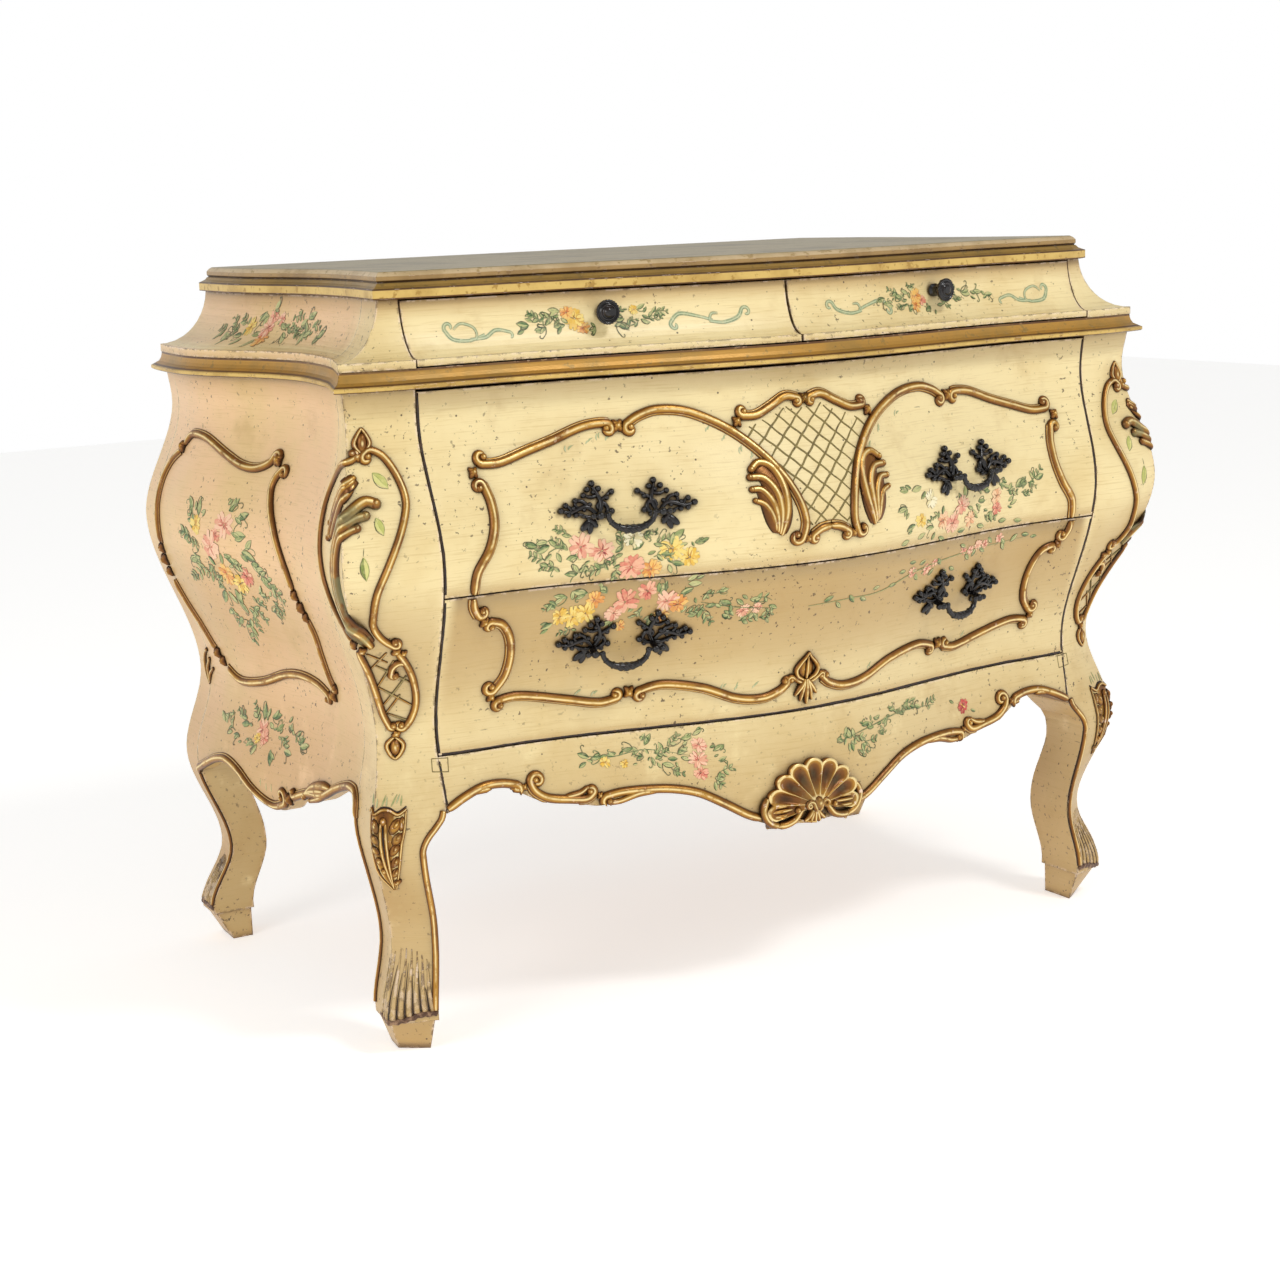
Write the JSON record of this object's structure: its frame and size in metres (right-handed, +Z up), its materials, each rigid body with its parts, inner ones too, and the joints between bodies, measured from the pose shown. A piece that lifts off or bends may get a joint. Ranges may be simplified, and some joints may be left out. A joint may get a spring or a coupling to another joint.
{
  "type": "bombe chest of drawers",
  "caption": "Painted bombe chest on scrolled legs: two coved frieze drawers over two deep serpentine drawers with bail handles and gilt mouldings.",
  "frame": {"origin": "on the floor under the middle of the chest's bounding box", "axes": "+X to the chest's left-to-right width as seen from the front (right is +X), -Y out of the front where the drawers open, +Z up"},
  "size_m": [1.1426, 0.7046, 0.86],
  "materials": {
    "painted_wood": "cream distressed paint, satin",
    "gilding": "worn gold leaf over gesso",
    "bronze": "dark patinated, glossy",
    "carcase_wood": "bare softwood, aged",
    "drawer_wood": "bare planed wood, waxed"
  },
  "bodies": {
    "case": {"apron_moulding": "gilding", "back_panel": "carcase_wood", "bottom_board": "carcase_wood", "corner_cartouche_left": "gilding", "corner_cartouche_right": "gilding", "drawer_runners_left": "carcase_wood", "drawer_runners_right": "carcase_wood", "dust_board": "carcase_wood", "frieze_divider": "carcase_wood", "frieze_floor": "carcase_wood", "frieze_post_left": "painted_wood", "frieze_post_right": "painted_wood", "frieze_side_left": "painted_wood", "frieze_side_right": "painted_wood", "front_apron": "painted_wood", "front_post_left": "painted_wood", "front_post_right": "painted_wood", "rear_post_left": "painted_wood", "rear_post_right": "painted_wood", "shell": "gilding", "side_mouldings_left": "gilding", "side_mouldings_right": "gilding", "side_panel_left": "painted_wood", "side_panel_right": "painted_wood", "top_board": "painted_wood", "waist_moulding": "gilding"},
    "upper_drawer": {"upper_drawer_back": "drawer_wood", "upper_drawer_bottom": "drawer_wood", "upper_drawer_front": "painted_wood", "upper_drawer_moulding": "gilding", "upper_drawer_side_left": "drawer_wood", "upper_drawer_side_right": "drawer_wood", "upper_handle_left_plates": "bronze", "upper_handle_right_plates": "bronze"},
    "lower_drawer": {"lower_drawer_back": "drawer_wood", "lower_drawer_bottom": "drawer_wood", "lower_drawer_front": "painted_wood", "lower_drawer_moulding": "gilding", "lower_drawer_side_left": "drawer_wood", "lower_drawer_side_right": "drawer_wood", "lower_handle_left_plates": "bronze", "lower_handle_right_plates": "bronze", "palmette": "gilding"},
    "frieze_drawer_left": {"frieze_drawer_left_back": "drawer_wood", "frieze_drawer_left_bottom": "drawer_wood", "frieze_drawer_left_front": "painted_wood", "frieze_drawer_left_knob": "bronze", "frieze_drawer_left_side_left": "drawer_wood", "frieze_drawer_left_side_right": "drawer_wood"},
    "frieze_drawer_right": {"frieze_drawer_right_back": "drawer_wood", "frieze_drawer_right_bottom": "drawer_wood", "frieze_drawer_right_front": "painted_wood", "frieze_drawer_right_knob": "bronze", "frieze_drawer_right_side_left": "drawer_wood", "frieze_drawer_right_side_right": "drawer_wood"},
    "lower_handle_left_bail": {"lower_handle_left_bail": "bronze"},
    "lower_handle_right_bail": {"lower_handle_right_bail": "bronze"},
    "upper_handle_left_bail": {"upper_handle_left_bail": "bronze"},
    "upper_handle_right_bail": {"upper_handle_right_bail": "bronze"}
  },
  "joints": [
    {"name": "upper_drawer_slide", "type": "slide", "parent": "case", "child": "upper_drawer", "axis": [0, -1, 0], "range_m": [0, 0.37]},
    {"name": "lower_drawer_slide", "type": "slide", "parent": "case", "child": "lower_drawer", "axis": [0, -1, 0], "range_m": [0, 0.37]},
    {"name": "frieze_drawer_left_slide", "type": "slide", "parent": "case", "child": "frieze_drawer_left", "axis": [0, -1, 0], "range_m": [0, 0.33]},
    {"name": "frieze_drawer_right_slide", "type": "slide", "parent": "case", "child": "frieze_drawer_right", "axis": [0, -1, 0], "range_m": [0, 0.33]},
    {"name": "lower_handle_left_swing", "type": "hinge", "parent": "lower_drawer", "child": "lower_handle_left_bail", "pos_m": [-0.23463, -0.28359, 0.43323], "axis": [-0.9707, 0.2403, 0], "range_deg": [0, 95]},
    {"name": "lower_handle_right_swing", "type": "hinge", "parent": "lower_drawer", "child": "lower_handle_right_bail", "pos_m": [0.23463, -0.28359, 0.43323], "axis": [-0.9707, -0.2403, 0], "range_deg": [0, 95]},
    {"name": "upper_handle_left_swing", "type": "hinge", "parent": "upper_drawer", "child": "upper_handle_left_bail", "pos_m": [-0.23775, -0.31411, 0.59086], "axis": [-0.9683, 0.2498, 0], "range_deg": [0, 95]},
    {"name": "upper_handle_right_swing", "type": "hinge", "parent": "upper_drawer", "child": "upper_handle_right_bail", "pos_m": [0.23775, -0.31411, 0.59086], "axis": [-0.9683, -0.2498, 0], "range_deg": [0, 95]}
  ]
}
